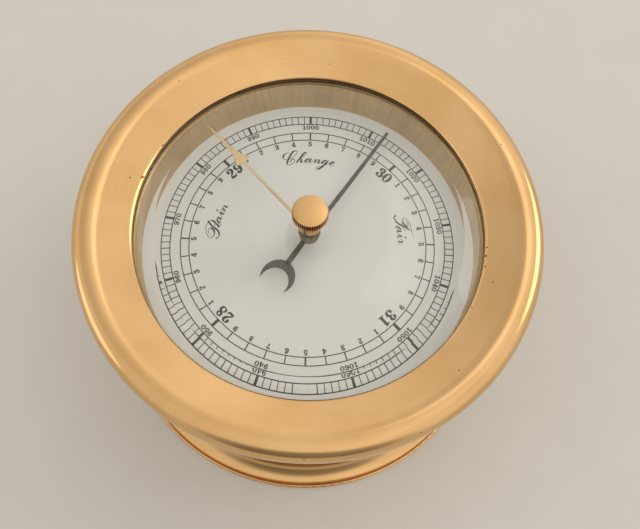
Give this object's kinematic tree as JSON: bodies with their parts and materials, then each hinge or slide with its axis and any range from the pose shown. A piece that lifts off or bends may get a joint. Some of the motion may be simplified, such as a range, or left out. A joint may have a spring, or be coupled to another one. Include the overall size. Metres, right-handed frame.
{
  "type": "ship barometer",
  "caption": "Round aneroid barometer in a flanged brass drum case, with a wide screwed bezel, bevelled glass, pressure dial, indicator hand and a set hand turned by a knob.",
  "frame": {"origin": "centre of the mounting flange's back face", "axes": "+Z out of the dial along the axis of the case, +Y to the top of the dial, +X to its right"},
  "size_m": [0.1396, 0.1396, 0.086],
  "materials": {
    "polished_brass": "polished and lacquered",
    "satin_brass": "satin, brushed round",
    "knob_brass": "knurled and lacquered",
    "gilt_brass": "gilt, thin plate",
    "movement_brass": "plain rolled sheet",
    "dial_white": "satin white print ground",
    "clear_glass": "bevelled and polished",
    "black_steel": "satin black",
    "bright_steel": "turned",
    "spring_steel": "blued",
    "arbor_copper": "copper-coloured rod",
    "nickel_silver": "pressed sheet",
    "grey_iron": "painted casting",
    "black_rubber": "moulded",
    "dark_seal": "brown sealing compound"
  },
  "bodies": {
    "case": {"case_drum": "polished_brass", "mounting_flange": "polished_brass", "dial_ledge": "satin_brass", "cover_ring": "satin_brass", "back_cover": "satin_brass", "back_cover_screws": "bright_steel", "dial_plate": "dial_white", "inner_ring": "satin_brass", "dial_feet": "movement_brass", "dial_feet_nuts": "bright_steel", "movement_plate": "movement_brass", "bridge_pillars": "movement_brass", "top_bridge": "movement_brass", "bridge_screws": "bright_steel", "upper_bush": "movement_brass", "lower_cock": "movement_brass", "cock_screws": "bright_steel", "lower_bush": "movement_brass", "hairspring_stud": "movement_brass", "hairspring": "spring_steel", "capsule_base_stud": "movement_brass", "capsule_nut": "bright_steel", "capsule_lower_half": "nickel_silver", "capsule_upper_half": "nickel_silver", "spring_stand": "grey_iron", "main_spring": "spring_steel", "spring_clamp": "bright_steel", "clamp_screws": "bright_steel", "shaft_brackets": "movement_brass", "pivot_screws": "bright_steel"},
    "bezel_gasket": {"bezel_gasket": "black_rubber"},
    "bezel": {"bezel": "polished_brass", "glass": "clear_glass", "glass_seal": "dark_seal", "glass_retainer": "satin_brass", "set_bush": "knob_brass"},
    "set_hand": {"set_knob": "knob_brass", "set_washer": "spring_steel", "set_hand": "gilt_brass"},
    "indicator": {"indicator_hand": "black_steel", "hand_hub": "black_steel", "hand_arbor": "arbor_copper", "chain_drum": "movement_brass", "hairspring_collet": "movement_brass"},
    "rocking_shaft": {"rocking_shaft": "bright_steel", "rocking_arm": "movement_brass", "crank_arm": "movement_brass", "chain": "bright_steel"},
    "main_lever": {"main_lever": "movement_brass"},
    "link_rod": {"link_rod": "bright_steel"},
    "capsule_stud": {"capsule_top_stud": "movement_brass", "knife_edge_pin": "bright_steel"},
    "adjusting_screw": {"adjusting_screw": "bright_steel"}
  },
  "joints": [
    {"name": "bezel_lift", "type": "slide", "parent": "case", "child": "bezel_gasket", "axis": [0, 0, 1], "range_m": [0, 0.00601]},
    {"name": "bezel_unscrew", "type": "hinge", "parent": "bezel_gasket", "child": "bezel", "pos_m": [0, 0, 0.0758], "axis": [0, 0, 1], "range_deg": [0, 1440]},
    {"name": "set_hand_turn", "type": "hinge", "parent": "bezel", "child": "set_hand", "pos_m": [0, 0, 0.07622], "axis": [0, 0, 1], "continuous": true},
    {"name": "indicator_turn", "type": "hinge", "parent": "case", "child": "indicator", "pos_m": [0, 0, 0.0669], "axis": [0, 0, 1], "range_deg": [-116.4, 183.6], "stiffness_Nm_per_rad": 0.0005},
    {"name": "rocking_shaft_turn", "type": "hinge", "parent": "case", "child": "rocking_shaft", "pos_m": [0.03, 0, 0.024], "axis": [0, 1, 0], "range_deg": [-8.1, 12.77], "deforming": ["chain"]},
    {"name": "main_lever_tilt", "type": "hinge", "parent": "case", "child": "main_lever", "pos_m": [-0.025, 0, 0.0332], "axis": [0, 1, 0], "range_deg": [-1, 0.63], "deforming": ["main_spring"]},
    {"name": "link_swing", "type": "hinge", "parent": "main_lever", "child": "link_rod", "pos_m": [0.026, 0.0065, 0.0344], "axis": [0, 1, 0], "range_deg": [-0.63, 1]},
    {"name": "capsule_lift", "type": "slide", "parent": "case", "child": "capsule_stud", "axis": [0, 0, 1], "range_m": [-0.000277, 0.000437], "deforming": ["capsule_upper_half"]},
    {"name": "adjusting_screw_turn", "type": "hinge", "parent": "case", "child": "adjusting_screw", "pos_m": [-0.037, 0, 0.0168], "axis": [0, 0, 1], "range_deg": [-360, 360]}
  ],
  "couplings": [
    {"joint": "bezel_lift", "follows": "bezel_unscrew", "m_per_rad": 0.00023873},
    {"joint": "rocking_shaft_turn", "follows": "indicator_turn", "ratio": 0.068182},
    {"joint": "main_lever_tilt", "follows": "indicator_turn", "ratio": -0.0053476},
    {"joint": "link_swing", "follows": "indicator_turn", "ratio": 0.0053476},
    {"joint": "capsule_lift", "follows": "indicator_turn", "m_per_rad": 0.00013369}
  ]
}
